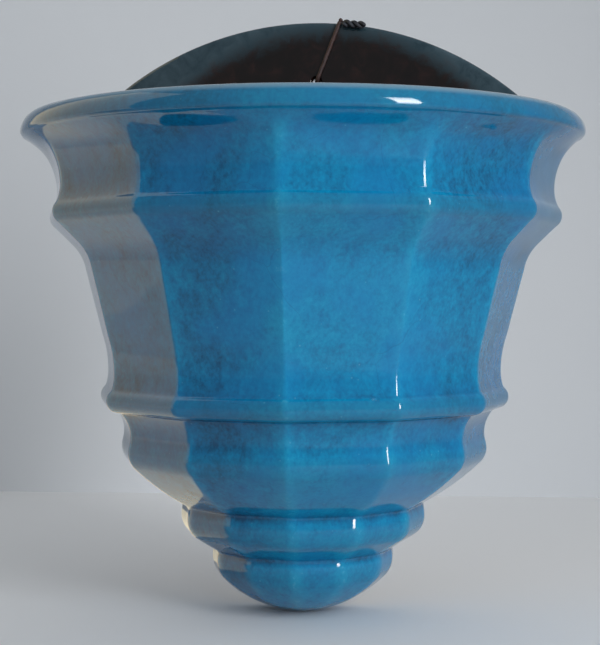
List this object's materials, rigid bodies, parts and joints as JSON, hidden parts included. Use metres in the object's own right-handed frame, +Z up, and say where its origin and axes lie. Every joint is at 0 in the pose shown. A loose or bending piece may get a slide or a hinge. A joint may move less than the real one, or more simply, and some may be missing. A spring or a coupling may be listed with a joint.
{
  "type": "hanging wall vase",
  "caption": "Half-round faceted pocket vase in blue glazed earthenware, with a rolled lip, a pointed foot and a flat arched back that hangs on a loop of wire.",
  "frame": {"origin": "on the flat rear face, at the height of the lip's widest line and halfway across the pocket", "axes": "+X to the right as seen from the room, +Y into the wall, +Z up"},
  "size_m": [0.198, 0.107, 0.2098],
  "materials": {
    "blue_glaze": "glossy turquoise-blue glaze, pooled darker in the hollows and thinner on the edges",
    "brown_glaze": "glossy brown-black glaze that turns teal towards the arched edge",
    "rusty_wire": "thin iron wire with a dry reddish rust",
    "dark_wire": "the same wire, dark and dull where it is twisted"
  },
  "bodies": {
    "root": {"front_shell": "blue_glaze", "back_plate": "brown_glaze"},
    "wire_loop": {"hanging_wire": "rusty_wire", "wire_twist": "dark_wire"}
  },
  "joints": [
    {"name": "wire_loop_swing", "type": "hinge", "parent": "root", "child": "wire_loop", "pos_m": [0.005, 0, 0.0194], "axis": [0, 1, 0], "range_deg": [-42, 0]}
  ]
}
